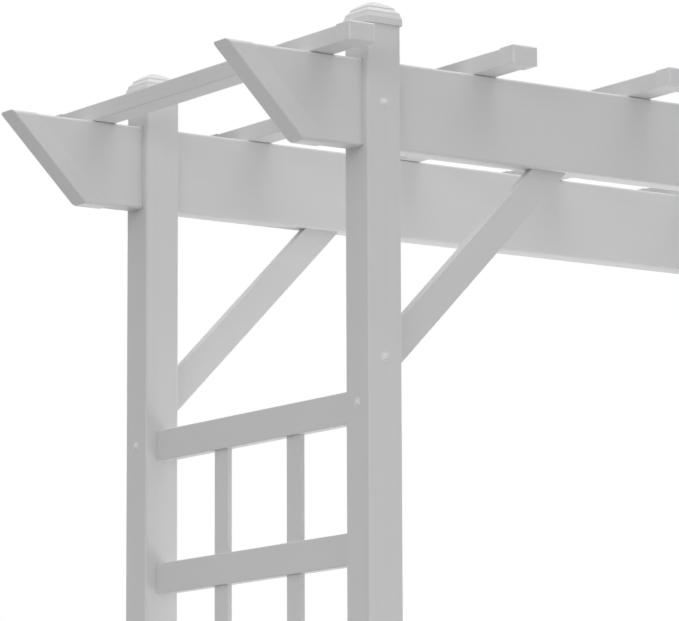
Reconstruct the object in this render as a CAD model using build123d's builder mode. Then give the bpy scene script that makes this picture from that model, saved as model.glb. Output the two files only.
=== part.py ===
from build123d import *
import os
from math import atan, cos, degrees, radians, sin, sqrt

# A free-standing garden arbor of hollow vinyl extrusions. Two beams pass through routed posts, slats lie
# across the beams, braces stiffen the corners, and a ladder of rails and pickets closes each side.
# Millimetres, +Z up. X runs along the beams, Y from the front of the passage to its back, and the
# origin is on the ground in the middle of the four posts.

os.makedirs("parts", exist_ok=True)

# Layout, between post centres and up from the ground
bay_width = 1660.0
bay_depth = 651.0
beam_top = 2134.0

# Fits: room round an extrusion in its routed hole, and how far a cut runs past a face
slip = 0.3
overrun = 10.0

# Posts: square tube, open at the foot, with a moulded cap over the top
post_size = 63.5
post_wall = 3.2
post_corner = 4.0
post_rise = 64.0

# Post caps: a skirt round the post, then leaning tiers to a small flat top, two of them on a low riser
cap_wall = 2.2
cap_corner = 2.0
skirt_drop = 8.0
skirt_plate = 2.5
crown_rise = 29.0
tier_inset_shares = (0.02, 0.095, 0.27, 0.504, 0.796)
tier_height_shares = (0.0, 0.259, 0.552, 0.828, 1.0)
tier_risers = (0.0, 1.8, 1.8, 0.0)
hollow_height_shares = (0.2, 0.75)
hollow_top_share = 0.5

# Beams: tall rail section, both ends cut on a slant with the top edge longer, and closed by caps
beam_height = 139.7
beam_thickness = 38.1
beam_wall = 2.5
beam_corner = 4.5
beam_overhang = 281.0
end_slant = 45.0
beam_cap_wall = 1.5
beam_cap_plate = 2.6
beam_cap_depth = 31.0
beam_cap_chamfer = 1.6

# Slats: flat-lying tubes across the two beams, with a cap over each end
slat_count = 7
slat_width = 45.0
slat_height = 28.0
slat_wall = 2.0
slat_corner = 2.0
slat_outset = 105.5
slat_overhang = 123.0
slat_cap_wall = 1.2
slat_cap_plate = 2.4
slat_cap_depth = 34.0
slat_cap_edge = 1.4
slat_cap_bevel = 2.2

# Braces: flat tube, mitred against the post's face and the beam's underside
brace_width = 49.0
brace_thickness = 19.05
brace_wall = 2.0
brace_corner = 1.5
brace_drop = 349.0
brace_reach = 340.0

# Side ladders: rails whose ends are let into the posts, and pickets through the rails
rail_count = 7
rail_height = 50.8
rail_thickness = 19.05
rail_wall = 2.0
rail_corner = 1.5
rail_insert = 18.0
top_rail_drop = 515.0
foot_gap = 239.0
picket_count = 2
picket_pitch = 212.0
picket_width = 38.9
picket_thickness = 7.9
picket_wall = 1.5

# Places worked out from the sizes above
post_bore = post_size - 2 * post_wall
post_top = beam_top + post_rise
beam_bottom = beam_top - beam_height
beam_reach = bay_width / 2 + beam_overhang
slat_length = bay_depth + 2 * slat_overhang
slat_pitch = (bay_width + 2 * slat_outset) / (slat_count - 1)
slat_places = [-bay_width / 2 - slat_outset + slat_pitch * i for i in range(slat_count)]
top_rail_level = beam_top - top_rail_drop - rail_height
rail_pitch = (top_rail_level - foot_gap) / (rail_count - 1)
rail_levels = [top_rail_level - rail_pitch * i for i in range(rail_count)]
picket_places = [picket_pitch * (i - (picket_count - 1) / 2) for i in range(picket_count)]
side_names = {-1: "left", 1: "right"}
face_names = {-1: "front", 1: "back"}
corners = [(side, face) for face in face_names for side in side_names]


def corner_name(piece, side, face):
    return f"{piece}_{face_names[face]}_{side_names[side]}"


def save(builder, label):
    builder.part.label = label
    export_step(builder.part, f"parts/{label}.step")


def facing(axis, origin):
    """A sketch plane that faces along a level axis, with its own Y pointing up."""
    return Plane(origin=origin, x_dir=Vector(0, 0, 1).cross(Vector(*axis)), z_dir=axis)


# Post: rounded square tube with a slot through both sides for the beam and a row of holes for the rails
def make_post(side, face):
    x, y = side * bay_width / 2, face * bay_depth / 2
    with BuildPart() as post:
        with BuildSketch(Plane(origin=(x, y, 0))):
            RectangleRounded(post_size, post_size, post_corner)
            Rectangle(post_bore, post_bore, mode=Mode.SUBTRACT)
        extrude(amount=post_top)
        with BuildSketch(facing((1, 0, 0), (x, y, beam_bottom))):
            Rectangle(beam_thickness + 2 * slip, beam_height + slip, align=(Align.CENTER, Align.MIN))
        extrude(amount=post_size, both=True, mode=Mode.SUBTRACT)
        with BuildSketch(facing((0, -face, 0), (x, y, 0))):
            with Locations(*[(0, level) for level in rail_levels]):
                Rectangle(rail_thickness + 2 * slip, rail_height + slip, align=(Align.CENTER, Align.MIN))
        extrude(amount=post_size, mode=Mode.SUBTRACT)
    save(post, corner_name("post", side, face))


# Post cap: skirt and tiered crown in one moulding, hollow below, resting on the post's end
def make_post_cap(side, face):
    x, y = side * bay_width / 2, face * bay_depth / 2
    cap_size = post_size + 2 * (slip + cap_wall)
    skirt_bore = post_size + 2 * slip
    crown_base = post_top + skirt_plate

    def block(low, high, foot, top):
        """A square block between two levels, leaning evenly from its foot to its top."""
        with BuildPart() as tier:
            with BuildSketch(Plane(origin=(x, y, low))):
                Rectangle(foot, foot)
            extrude(amount=high - low, taper=degrees(atan((foot - top) / 2 / (high - low))))
        return tier.part

    with BuildPart() as cap:
        with BuildSketch(Plane(origin=(x, y, post_top - skirt_drop))):
            RectangleRounded(cap_size, cap_size, cap_corner)
        extrude(amount=skirt_drop + skirt_plate)
        for i, riser in enumerate(tier_risers):
            foot, top = [cap_size * (1 - share) for share in tier_inset_shares[i:i + 2]]
            low, high = [crown_base + crown_rise * share for share in tier_height_shares[i:i + 2]]
            if riser:
                add(block(low, low + riser, foot, foot))
            add(block(low + riser, high, foot, top))
        add(block(post_top - skirt_drop - overrun, post_top, skirt_bore, skirt_bore), mode=Mode.SUBTRACT)
        shoulder, ceiling = [crown_base + crown_rise * share for share in hollow_height_shares]
        add(block(post_top, shoulder, post_bore, post_bore), mode=Mode.SUBTRACT)
        add(block(shoulder, ceiling, post_bore, post_bore * hollow_top_share), mode=Mode.SUBTRACT)
    save(cap, corner_name("post_cap", side, face))


# Beam: hollow rail section along X, each end cut on the slant
def end_cut(side, face, outward):
    """The slanted plane of a beam's end, moved square to itself by outward."""
    square = (side * cos(radians(end_slant)), 0, -sin(radians(end_slant)))
    return Plane(origin=(side * beam_reach, face * bay_depth / 2, beam_top), z_dir=square).offset(outward)


def make_beam(face):
    with BuildPart() as beam:
        with BuildSketch(facing((1, 0, 0), (0, face * bay_depth / 2, beam_top - beam_height / 2))):
            RectangleRounded(beam_thickness, beam_height, beam_corner)
            Rectangle(beam_thickness - 2 * beam_wall, beam_height - 2 * beam_wall, mode=Mode.SUBTRACT)
        extrude(amount=beam_reach, both=True)
        for side in side_names:
            split(bisect_by=end_cut(side, face, 0), keep=Keep.BOTTOM)
    save(beam, f"beam_{face_names[face]}")


# Beam cap: slanted box pushed over the cut end, its plate against the end of the beam
def beam_end(side, face, room, near, far):
    """A solid end of the beam, grown all round by room, between two slants near and far from the cut."""
    with BuildPart() as end:
        with BuildSketch(facing((side, 0, 0), (0, face * bay_depth / 2, beam_top - beam_height / 2))):
            RectangleRounded(beam_thickness + 2 * room, beam_height + 2 * room, beam_corner + room)
        extrude(amount=beam_reach + beam_height)
        split(bisect_by=end_cut(side, face, far), keep=Keep.BOTTOM)
        split(bisect_by=end_cut(side, face, near), keep=Keep.TOP)
    return end.part


def make_beam_cap(side, face):
    with BuildPart() as beam_cap:
        add(beam_end(side, face, slip + beam_cap_wall, -beam_cap_depth, beam_cap_plate))
        plate = beam_cap.faces().sort_by(Axis((0, 0, 0), end_cut(side, face, 0).z_dir))[-1]
        chamfer(plate.edges(), beam_cap_chamfer)
        add(beam_end(side, face, slip, -beam_cap_depth - overrun, 0), mode=Mode.SUBTRACT)
    save(beam_cap, corner_name("beam_cap", side, face))


# Slat: hollow bar lying flat across both beams
def make_slat(number):
    with BuildPart() as slat:
        with BuildSketch(facing((0, 1, 0), (slat_places[number], 0, beam_top + slat_height / 2))):
            RectangleRounded(slat_width, slat_height, slat_corner)
            Rectangle(slat_width - 2 * slat_wall, slat_height - 2 * slat_wall, mode=Mode.SUBTRACT)
        extrude(amount=slat_length / 2, both=True)
    save(slat, f"slat_{number + 1}")


# Slat caps: one row of push-on end caps along each side of the roof, bevelled round their plates
def make_slat_caps(face):
    shell = slip + slat_cap_wall
    with BuildPart() as slat_caps:
        end_plane = facing((0, face, 0), (0, face * slat_length / 2, beam_top + slat_height / 2))
        with BuildSketch(end_plane.offset(-slat_cap_depth)):
            with Locations(*[(x, 0) for x in slat_places]):
                Rectangle(slat_width + 2 * shell, slat_height + 2 * shell)
        extrude(amount=slat_cap_depth + slat_cap_plate)
        chamfer(slat_caps.edges().filter_by(Axis.Y), slat_cap_edge)
        plates = slat_caps.faces().filter_by(Axis.Y).group_by(Axis.Y)[0 if face < 0 else -1]
        chamfer(plates.edges(), slat_cap_bevel)
        with BuildSketch(end_plane):
            with Locations(*[(x, 0) for x in slat_places]):
                Rectangle(slat_width + 2 * slip, slat_height + 2 * slip)
        extrude(amount=-(slat_cap_depth + overrun), mode=Mode.SUBTRACT)
    save(slat_caps, f"slat_caps_{face_names[face]}")


# Brace: hollow bar between the post's inner face and the beam's underside
def brace_outline(inset, past):
    """Corners of the mitred bar, drawn in from both long edges and run past both mitres."""
    slope = brace_drop / brace_reach
    upright = sqrt(1 + slope ** 2)
    low_foot = beam_bottom - brace_drop + inset * upright
    high_foot = beam_bottom - brace_drop + (brace_width - inset) * upright
    top = beam_bottom + past
    return [(-past, low_foot - past * slope), ((top - low_foot) / slope, top),
            ((top - high_foot) / slope, top), (-past, high_foot - past * slope)]


def make_brace(side, face):
    post_face = side * (bay_width - post_size) / 2
    with BuildPart() as brace:
        brace_plane = facing((0, side, 0), (post_face, face * bay_depth / 2, 0))
        with BuildSketch(brace_plane):
            Polygon(*brace_outline(0, 0), align=None)
        extrude(amount=brace_thickness / 2, both=True)
        fillet(brace.edges().filter_by(Axis((0, 0, 0), (-side * brace_reach, 0, brace_drop))), brace_corner)
        with BuildSketch(brace_plane):
            Polygon(*brace_outline(brace_wall, overrun), align=None)
        extrude(amount=brace_thickness / 2 - brace_wall, both=True, mode=Mode.SUBTRACT)
    save(brace, corner_name("brace", side, face))


# Rail: hollow bar along Y with both ends inside the posts, routed for the pickets
def make_rail(side, number):
    x, level = side * bay_width / 2, rail_levels[number]
    rail_length = bay_depth - post_size + 2 * rail_insert
    with BuildPart() as rail:
        with BuildSketch(facing((0, 1, 0), (x, 0, level + rail_height / 2))):
            RectangleRounded(rail_thickness, rail_height, rail_corner)
            Rectangle(rail_thickness - 2 * rail_wall, rail_height - 2 * rail_wall, mode=Mode.SUBTRACT)
        extrude(amount=rail_length / 2, both=True)
        floor = level - overrun if number < rail_count - 1 else level + rail_height / 2
        ceiling = level + rail_height + overrun if number > 0 else level + rail_height / 2
        with BuildSketch(Plane(origin=(x, 0, floor))):
            with Locations(*[(0, y) for y in picket_places]):
                Rectangle(picket_thickness + 2 * slip, picket_width + 2 * slip)
        extrude(amount=ceiling - floor, mode=Mode.SUBTRACT)
    save(rail, f"rail_{side_names[side]}_{number + 1}")


# Picket: thin hollow strip standing on the floor of the lowest rail and ending inside the top one
def make_picket(side, number):
    low = rail_levels[-1] + rail_wall
    high = rail_levels[0] + rail_height - rail_wall - slip
    with BuildPart() as picket:
        with BuildSketch(Plane(origin=(side * bay_width / 2, picket_places[number], low))):
            Rectangle(picket_thickness, picket_width)
            Rectangle(picket_thickness - 2 * picket_wall, picket_width - 2 * picket_wall, mode=Mode.SUBTRACT)
        extrude(amount=high - low)
    save(picket, f"picket_{side_names[side]}_{number + 1}")


for side, face in corners:
    make_post(side, face)
    make_post_cap(side, face)
    make_beam_cap(side, face)
    make_brace(side, face)

for face in face_names:
    make_beam(face)
    make_slat_caps(face)

for number in range(slat_count):
    make_slat(number)

for side in side_names:
    for number in range(rail_count):
        make_rail(side, number)
    for number in range(picket_count):
        make_picket(side, number)
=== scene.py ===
import math

import bmesh
import bpy
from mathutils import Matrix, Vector


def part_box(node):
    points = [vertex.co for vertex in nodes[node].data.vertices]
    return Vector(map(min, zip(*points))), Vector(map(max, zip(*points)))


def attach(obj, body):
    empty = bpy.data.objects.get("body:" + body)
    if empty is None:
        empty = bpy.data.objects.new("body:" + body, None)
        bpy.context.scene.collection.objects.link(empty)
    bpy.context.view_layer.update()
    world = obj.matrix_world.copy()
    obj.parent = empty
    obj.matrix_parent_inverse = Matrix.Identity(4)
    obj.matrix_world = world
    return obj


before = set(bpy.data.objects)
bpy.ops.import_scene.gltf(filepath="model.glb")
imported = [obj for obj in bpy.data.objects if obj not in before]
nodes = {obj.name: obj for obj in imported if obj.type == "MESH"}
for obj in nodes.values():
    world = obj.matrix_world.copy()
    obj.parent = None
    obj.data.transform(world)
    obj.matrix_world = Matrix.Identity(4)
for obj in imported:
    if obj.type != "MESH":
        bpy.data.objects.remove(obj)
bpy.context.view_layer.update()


# Posts: hollow square extrusions of rigid white vinyl, routed for the beams and the rails.
# The die draws faint lines along the length, and the satin skin varies a little in tone and gloss.
# Lines and grain are finer on the real skin, and are drawn here as coarse as they need to show.
sides = {"left": -1, "right": 1}
faces = {"front": -1, "back": 1}
corners = [(face, side) for face in faces for side in sides]
POST_WHITE = "#E1E1E1"
POST_SHADE = "#DADADA"
MM = 0.001
# Each pattern's width across and length along the piece in mm, then its detail and roughness
SKIN_PATTERNS = {
    "lines": (5.0, 2600.0, 3.0, 0.6),
    "cloud": (240.0, 480.0, 4.0, 0.55),
    "grain": (2.2, 2.2, 2.0, 0.5),
    "scuffs": (2.0, 70.0, 2.0, 0.5),
}
LINE_SHARE = 0.35
TONE_SPAN = (0.4, 0.95)
GLOSS_SPAN = (0.45, 1.05)
SATIN_ROUGHNESS = (0.50, 0.40)
SCUFF_SPAN = (0.66, 0.78)
SCUFF_TINT = 0.35
SCUFF_DULLING = 0.12
GRAIN_SHARE = 0.25
SKIN_RELIEF_MM = 0.012
SKIN_RELIEF_STRENGTH = 0.6
RIGID_VINYL_IOR = 1.53
# The colour sockets of a Mix node
MIX_A, MIX_B, MIX_RESULT = 6, 7, 2


def linear(hex_colour):
    """An sRGB hex colour as the linear RGBA that a shader takes."""
    channels = [int(hex_colour[i:i + 2], 16) / 255 for i in (1, 3, 5)]
    return [c / 12.92 if c <= 0.04045 else ((c + 0.055) / 1.055) ** 2.4 for c in channels] + [1.0]


def add_node(tree, kind, settings, inputs):
    """Adds one node with its settings; an input takes a value, or a link from another node's output."""
    node = tree.nodes.new(kind)
    for name, value in settings.items():
        setattr(node, name, value)
    for name, value in inputs.items():
        if isinstance(value, bpy.types.NodeSocket):
            tree.links.new(value, node.inputs[name])
        else:
            node.inputs[name].default_value = value
    return node


def extruded_vinyl(name, white, shade, along, turn=0.0):
    """Extruded rigid vinyl: die lines run along one axis of the piece, turned about Y for a slanted one."""
    material = bpy.data.materials.new(name)
    material.use_nodes = True
    tree = material.node_tree
    tree.nodes.clear()
    place = add_node(tree, "ShaderNodeTexCoord", {}, {}).outputs["Object"]
    turned = add_node(tree, "ShaderNodeMapping", {}, {
        "Vector": place, "Rotation": (0, turn, 0)}).outputs["Vector"]
    skin = {}
    for pattern, (across_mm, along_mm, detail, break_up) in SKIN_PATTERNS.items():
        scale = [1 / (across_mm * MM)] * 3
        scale[along] = 1 / (along_mm * MM)
        stretched = add_node(tree, "ShaderNodeMapping", {}, {
            "Vector": turned, "Scale": scale}).outputs["Vector"]
        skin[pattern] = add_node(tree, "ShaderNodeTexNoise", {}, {
            "Vector": stretched, "Scale": 1.0, "Detail": detail, "Roughness": break_up}).outputs["Fac"]
    tone = add_node(tree, "ShaderNodeMath", {"operation": "MULTIPLY_ADD"}, {
        0: skin["lines"], 1: LINE_SHARE, 2: skin["cloud"]}).outputs[0]
    shading = add_node(tree, "ShaderNodeMapRange", {}, {
        "Value": tone, "From Min": TONE_SPAN[0], "From Max": TONE_SPAN[1]}).outputs["Result"]
    clean = add_node(tree, "ShaderNodeMix", {"data_type": "RGBA"}, {
        "Factor": shading, MIX_A: linear(shade), MIX_B: linear(white)}).outputs[MIX_RESULT]
    scuffed = add_node(tree, "ShaderNodeMapRange", {"interpolation_type": "SMOOTHSTEP"}, {
        "Value": skin["scuffs"], "From Min": SCUFF_SPAN[0], "From Max": SCUFF_SPAN[1]}).outputs["Result"]
    rubbed = add_node(tree, "ShaderNodeMath", {"operation": "MULTIPLY"}, {
        0: scuffed, 1: SCUFF_TINT}).outputs[0]
    colour = add_node(tree, "ShaderNodeMix", {"data_type": "RGBA"}, {
        "Factor": rubbed, MIX_A: clean, MIX_B: linear(shade)}).outputs[MIX_RESULT]
    satin = add_node(tree, "ShaderNodeMapRange", {}, {
        "Value": tone, "From Min": GLOSS_SPAN[0], "From Max": GLOSS_SPAN[1],
        "To Min": SATIN_ROUGHNESS[0], "To Max": SATIN_ROUGHNESS[1]}).outputs["Result"]
    roughness = add_node(tree, "ShaderNodeMath", {"operation": "MULTIPLY_ADD"}, {
        0: scuffed, 1: SCUFF_DULLING, 2: satin}).outputs[0]
    height = add_node(tree, "ShaderNodeMath", {"operation": "MULTIPLY_ADD"}, {
        0: skin["grain"], 1: GRAIN_SHARE, 2: skin["lines"]}).outputs[0]
    relief = add_node(tree, "ShaderNodeBump", {}, {
        "Height": height, "Strength": SKIN_RELIEF_STRENGTH,
        "Distance": SKIN_RELIEF_MM * MM}).outputs["Normal"]
    shader = add_node(tree, "ShaderNodeBsdfPrincipled", {}, {
        "Base Color": colour, "Roughness": roughness, "Normal": relief, "IOR": RIGID_VINYL_IOR})
    add_node(tree, "ShaderNodeOutputMaterial", {}, {"Surface": shader.outputs["BSDF"]})
    return material


def finish_nodes(names, material):
    """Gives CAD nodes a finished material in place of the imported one."""
    for name in names:
        nodes[name].data.materials.clear()
        nodes[name].data.materials.append(material)


X, Y, Z = range(3)
finish_nodes([f"post_{face}_{side}" for face, side in corners],
             extruded_vinyl("extruded_vinyl_post", POST_WHITE, POST_SHADE, Z))


# Side ladders: rails whose ends are let into the posts, and thin pickets through them.
# Both are vinyl extrusions, the rails' lines running from post to post and the pickets' upwards.
RAIL_WHITE = "#E1E1E1"
RAIL_SHADE = "#DADADA"
finish_nodes([name for name in nodes if name.startswith("rail_")],
             extruded_vinyl("extruded_vinyl_rail", RAIL_WHITE, RAIL_SHADE, Y))
finish_nodes([name for name in nodes if name.startswith("picket_")],
             extruded_vinyl("extruded_vinyl_picket", RAIL_WHITE, RAIL_SHADE, Z))


# Beams: tall vinyl rail sections pushed through the routed posts.
# Drawn from the same compound as the posts, with the die lines along the beam.
BEAM_WHITE = "#E1E1E1"
BEAM_SHADE = "#DADADA"
finish_nodes([f"beam_{face}" for face in faces],
             extruded_vinyl("extruded_vinyl_beam", BEAM_WHITE, BEAM_SHADE, X))


# Braces: flat vinyl tubes, mitred between a post and a beam.
# Their die lines climb with the piece, so each side has its own turn of the pattern.
for side, sign in sides.items():
    low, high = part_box(f"brace_front_{side}")
    climb = math.atan2(high.z - low.z, high.x - low.x)
    finish_nodes([f"brace_{face}_{side}" for face in faces],
                 extruded_vinyl(f"extruded_vinyl_brace_{side}", RAIL_WHITE, RAIL_SHADE, X, -sign * climb))


# Slats: flat-lying vinyl tubes across both beams.
# The same extruded skin, with its lines from front to back.
slats = [name for name in nodes if name.startswith("slat_") and "caps" not in name]
finish_nodes(slats, extruded_vinyl("extruded_vinyl_slat", BEAM_WHITE, BEAM_SHADE, Y))


# Caps: injection-moulded vinyl, pushed over the ends of the posts, beams and slats.
# Smoother and a touch glossier than the extrusions, with faint flow marks and a fine tool texture,
# which is drawn as coarse as it needs to show.
CAP_WHITE = "#E3E3E3"
CAP_SHADE = "#DDDDDD"
FLOW_MARK_MM = 22.0
FLOW_SPAN = (0.3, 0.7)
MOULDED_ROUGHNESS = (0.34, 0.42)
TOOL_TEXTURE_MM = 1.2
TOOL_RELIEF_STRENGTH = 0.4


def moulded_vinyl(name, white, shade):
    """Injection-moulded vinyl: even tone, a soft sheen and a fine eroded tool texture."""
    material = bpy.data.materials.new(name)
    material.use_nodes = True
    tree = material.node_tree
    tree.nodes.clear()
    place = add_node(tree, "ShaderNodeTexCoord", {}, {}).outputs["Object"]
    flow = add_node(tree, "ShaderNodeTexNoise", {}, {
        "Vector": place, "Scale": 1 / (FLOW_MARK_MM * MM), "Detail": 2.0, "Distortion": 1.5}).outputs["Fac"]
    texture = add_node(tree, "ShaderNodeTexNoise", {}, {
        "Vector": place, "Scale": 1 / (TOOL_TEXTURE_MM * MM), "Detail": 1.0}).outputs["Fac"]
    colour = add_node(tree, "ShaderNodeMix", {"data_type": "RGBA"}, {
        "Factor": flow, MIX_A: linear(shade), MIX_B: linear(white)}).outputs[MIX_RESULT]
    roughness = add_node(tree, "ShaderNodeMapRange", {}, {
        "Value": flow, "From Min": FLOW_SPAN[0], "From Max": FLOW_SPAN[1],
        "To Min": MOULDED_ROUGHNESS[0], "To Max": MOULDED_ROUGHNESS[1]}).outputs["Result"]
    relief = add_node(tree, "ShaderNodeBump", {}, {
        "Height": texture, "Strength": TOOL_RELIEF_STRENGTH,
        "Distance": SKIN_RELIEF_MM * MM}).outputs["Normal"]
    shader = add_node(tree, "ShaderNodeBsdfPrincipled", {}, {
        "Base Color": colour, "Roughness": roughness, "Normal": relief, "IOR": RIGID_VINYL_IOR})
    add_node(tree, "ShaderNodeOutputMaterial", {}, {"Surface": shader.outputs["BSDF"]})
    return material


finish_nodes([name for name in nodes if "cap" in name],
             moulded_vinyl("moulded_vinyl_cap", CAP_WHITE, CAP_SHADE))


# Screw covers: small moulded buttons, each a thin ring with a low dome, snapped over a screw head.
# They stand on the posts' faces at the beam, at the foot of the brace and at the top and bottom rails,
# and on the slats over each beam. Each is a half section spun about the axis of its screw.
COVER_PROFILE_MM = [(0.0, 3.0), (1.8, 2.85), (3.4, 2.35), (4.6, 1.55), (5.3, 0.75), (5.5, 0.35), (6.1, 0.35),
                    (6.4, 0.8), (7.4, 0.75), (8.0, 0.45), (8.25, 0.0), (0.0, 0.0)]
COVER_STEPS = 28
COVER_WHITE = "#EDEDED"
COVER_SHADE = "#E7E7E7"
BRACE_SCREW_MM = 18.0
WELD_MM = 0.02
SHARP_TURN = math.radians(38)

cover_vinyl = moulded_vinyl("moulded_vinyl_cover", COVER_WHITE, COVER_SHADE)


def add_screw_cover(shape, place, outward):
    """Spins one cover into a mesh, standing on a face that looks outward."""
    across = outward.orthogonal().normalized()
    section = [shape.verts.new(place + (across * radius + outward * height) * MM)
               for radius, height in COVER_PROFILE_MM]
    outline = [shape.edges.new(pair) for pair in zip(section, section[1:])]
    bmesh.ops.spin(shape, geom=section + outline, cent=place, axis=outward, angle=math.tau,
                   steps=COVER_STEPS, use_merge=True)


def finish_screw_covers(shape, name):
    """Closes the spun covers and makes them one piece of the arbor."""
    bmesh.ops.remove_doubles(shape, verts=shape.verts, dist=WELD_MM * MM)
    bmesh.ops.recalc_face_normals(shape, faces=shape.faces)
    mesh = bpy.data.meshes.new(name)
    shape.to_mesh(mesh)
    shape.free()
    mesh.shade_smooth()
    mesh.set_sharp_from_angle(angle=SHARP_TURN)
    mesh.materials.append(cover_vinyl)
    piece = bpy.data.objects.new(name, mesh)
    bpy.context.scene.collection.objects.link(piece)
    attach(piece, "root")


def middle(name):
    """The middle of a CAD node's box."""
    low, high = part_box(name)
    return (low + high) / 2


for face, side in corners:
    low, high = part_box(f"post_{face}_{side}")
    post_middle = (low + high) / 2
    outer_y = low.y if face == "front" else high.y
    outer_x = low.x if side == "left" else high.x
    brace_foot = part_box(f"brace_{face}_{side}")[0].z + BRACE_SCREW_MM * MM
    covers = bmesh.new()
    for height in (middle(f"beam_{face}").z, brace_foot):
        add_screw_cover(covers, Vector((post_middle.x, outer_y, height)), Vector((0, faces[face], 0)))
    for height in (middle(f"rail_{side}_1").z, middle(f"rail_{side}_7").z):
        add_screw_cover(covers, Vector((outer_x, post_middle.y, height)), Vector((sides[side], 0, 0)))
    finish_screw_covers(covers, f"screw_covers_{face}_{side}")

for face in faces:
    covers = bmesh.new()
    for slat in slats:
        on_top = Vector((middle(slat).x, middle(f"beam_{face}").y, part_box(slat)[1].z))
        add_screw_cover(covers, on_top, Vector((0, 0, 1)))
    finish_screw_covers(covers, f"screw_covers_slats_{face}")


# Floor: a plain pale studio floor that keeps the shadow near the feet and fades into the white ground.
# It throws most light back from under the arbor and less from farther out, so the bounce weakens with height.
FLOOR_RADIUS = 60.0
FLOOR_SEGMENTS = 96
FLOOR_PALE = "#DADADA"
FLOOR_FADE_M = (1.8, 5.0)
BOUNCE_NEAR = "#EEEEEE"
BOUNCE_FAR = "#6E6E6E"
BOUNCE_FADE_M = (0.9, 2.8)
WHITE = (1, 1, 1, 1)


def seen_rays(tree):
    """1 for rays that look at things, from the camera, in gloss or through glass, and 0 for rays of light."""
    rays = add_node(tree, "ShaderNodeLightPath", {}, {}).outputs
    straight = add_node(tree, "ShaderNodeMath", {"operation": "MAXIMUM"}, {
        0: rays["Is Camera Ray"], 1: rays["Is Glossy Ray"]}).outputs[0]
    return add_node(tree, "ShaderNodeMath", {"operation": "MAXIMUM"}, {
        0: straight, 1: rays["Is Transmission Ray"]}).outputs[0]


floor_shape = bmesh.new()
bmesh.ops.create_circle(floor_shape, cap_ends=True, segments=FLOOR_SEGMENTS, radius=FLOOR_RADIUS)
floor_mesh = bpy.data.meshes.new("floor")
floor_shape.to_mesh(floor_mesh)
floor_shape.free()
floor = bpy.data.objects.new("floor", floor_mesh)
bpy.context.scene.collection.objects.link(floor)

floor_paint = bpy.data.materials.new("studio_floor")
floor_paint.use_nodes = True
tree = floor_paint.node_tree
tree.nodes.clear()
floor_place = add_node(tree, "ShaderNodeTexCoord", {}, {}).outputs["Object"]
distance = add_node(tree, "ShaderNodeVectorMath", {"operation": "LENGTH"}, {0: floor_place}).outputs["Value"]
whitening = add_node(tree, "ShaderNodeMapRange", {"interpolation_type": "SMOOTHSTEP"}, {
    "Value": distance, "From Min": FLOOR_FADE_M[0], "From Max": FLOOR_FADE_M[1]}).outputs["Result"]
dimming = add_node(tree, "ShaderNodeMapRange", {"interpolation_type": "SMOOTHSTEP"}, {
    "Value": distance, "From Min": BOUNCE_FADE_M[0], "From Max": BOUNCE_FADE_M[1]}).outputs["Result"]
bounce_tone = add_node(tree, "ShaderNodeMix", {"data_type": "RGBA"}, {
    "Factor": dimming, MIX_A: linear(BOUNCE_NEAR), MIX_B: linear(BOUNCE_FAR)}).outputs[MIX_RESULT]
bounce = add_node(tree, "ShaderNodeBsdfDiffuse", {}, {"Color": bounce_tone}).outputs["BSDF"]
pale = add_node(tree, "ShaderNodeBsdfDiffuse", {}, {"Color": linear(FLOOR_PALE)}).outputs["BSDF"]
ground = add_node(tree, "ShaderNodeEmission", {}, {"Color": WHITE, "Strength": 1.0}).outputs["Emission"]
shown = add_node(tree, "ShaderNodeMixShader", {}, {0: whitening, 1: pale, 2: ground}).outputs[0]
floor_look = add_node(tree, "ShaderNodeMixShader", {}, {0: seen_rays(tree), 1: bounce, 2: shown}).outputs[0]
add_node(tree, "ShaderNodeOutputMaterial", {}, {"Surface": floor_look})
floor_mesh.materials.append(floor_paint)


# Light: an overcast sky, brightest overhead, with weak softboxes round the arbor, one low in front that looks
# up, and a small one inside that lights the underside of the roof and shows in no gloss.
# White stands behind the object for what the camera and gloss see.
SKY_HORIZON = 0.383
SKY_ZENITH = 1.30
SKY_POWER = 3.0
ARBOR_MIDDLE = (0, 0, 1.3)
# Each softbox's place and aim in metres, its size in metres, and its watts
SOFTBOXES = {
    "overhead": ((0.5, -1.0, 6.0), ARBOR_MIDDLE, (4.0, 4.0), 58),
    "left": ((-6.5, -3.0, 3.0), ARBOR_MIDDLE, (4.0, 3.0), 88),
    "right": ((6.5, 1.5, 2.2), ARBOR_MIDDLE, (4.0, 3.0), 40),
    "behind": ((1.5, 6.0, 2.2), ARBOR_MIDDLE, (4.0, 3.0), 45),
    "low_front": ((-0.3, -2.6, 0.35), (-0.3, -1.9, 3.0), (3.0, 0.8), 19.5),
    "inside": ((0.0, -0.05, 0.95), ARBOR_MIDDLE, (0.9, 0.4), 4.2),
}

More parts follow.
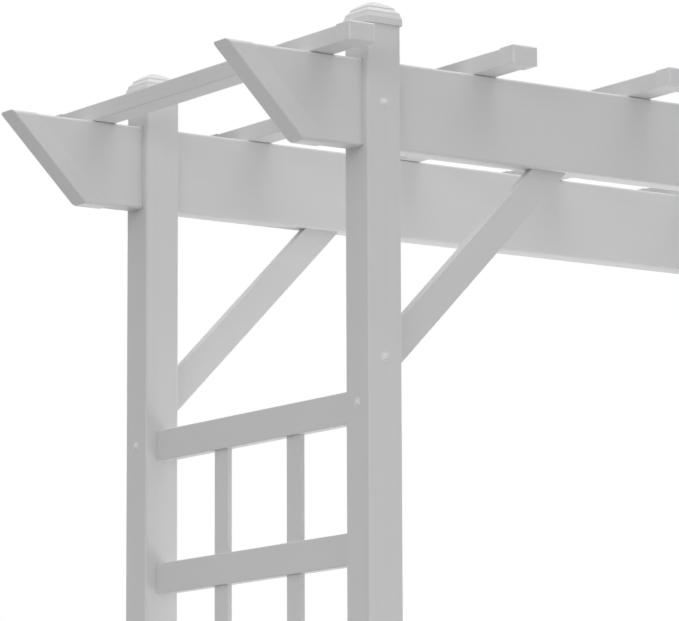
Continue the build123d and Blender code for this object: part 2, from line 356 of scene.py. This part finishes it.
world = bpy.data.worlds.new("studio")
world.use_nodes = True
bpy.context.scene.world = world
tree = world.node_tree
tree.nodes.clear()
direction = add_node(tree, "ShaderNodeTexCoord", {}, {}).outputs["Generated"]
upward = add_node(tree, "ShaderNodeSeparateXYZ", {}, {"Vector": direction}).outputs["Z"]
above = add_node(tree, "ShaderNodeMath", {"operation": "MAXIMUM"}, {0: upward, 1: 0.0}).outputs[0]
climbing = add_node(tree, "ShaderNodeMath", {"operation": "POWER"}, {0: above, 1: SKY_POWER}).outputs[0]
sky_strength = add_node(tree, "ShaderNodeMapRange", {}, {
    "Value": climbing, "To Min": SKY_HORIZON, "To Max": SKY_ZENITH}).outputs["Result"]
sky = add_node(tree, "ShaderNodeBackground", {}, {"Color": WHITE, "Strength": sky_strength}).outputs[0]
plain_white = add_node(tree, "ShaderNodeBackground", {}, {"Color": WHITE, "Strength": 1.0}).outputs[0]
backdrop = add_node(tree, "ShaderNodeMixShader", {}, {0: seen_rays(tree), 1: sky, 2: plain_white}).outputs[0]
add_node(tree, "ShaderNodeOutputWorld", {}, {"Surface": backdrop})
for name, (place, aim, size, watts) in SOFTBOXES.items():
    lamp_data = bpy.data.lights.new(f"softbox_{name}", "AREA")
    lamp_data.shape = "RECTANGLE"
    lamp_data.size, lamp_data.size_y = size
    lamp_data.energy = watts
    lamp = bpy.data.objects.new(f"softbox_{name}", lamp_data)
    lamp.location = place
    lamp.rotation_euler = (Vector(aim) - Vector(place)).to_track_quat("-Z", "Y").to_euler()
    lamp.visible_camera = False
    lamp.visible_glossy = name != "inside"
    bpy.context.scene.collection.objects.link(lamp)
bpy.context.scene.view_settings.view_transform = "Standard"


# Camera: low at the front left, looking up at the near corner through a long lens.
# Its place is in metres and its turns are in degrees.
CAMERA_PLACE = (-4.7371, -5.9624, 0.6551)
CAMERA_YAW = 34.253
CAMERA_PITCH = 8.992
CAMERA_ROLL = 0.191
FOCAL_PIXELS = 4466.08
IMAGE_WIDTH = 679
SENSOR_MM = 36.0
CLIP_END_M = 200.0

lens = bpy.data.cameras.new("camera")
lens.sensor_fit = "HORIZONTAL"
lens.sensor_width = SENSOR_MM
lens.lens = FOCAL_PIXELS * SENSOR_MM / IMAGE_WIDTH
lens.clip_end = CLIP_END_M
camera = bpy.data.objects.new("camera", lens)
camera.location = CAMERA_PLACE
camera.rotation_euler = [math.radians(angle) for angle in (90 + CAMERA_PITCH, CAMERA_ROLL, -CAMERA_YAW)]
bpy.context.scene.collection.objects.link(camera)
bpy.context.scene.camera = camera
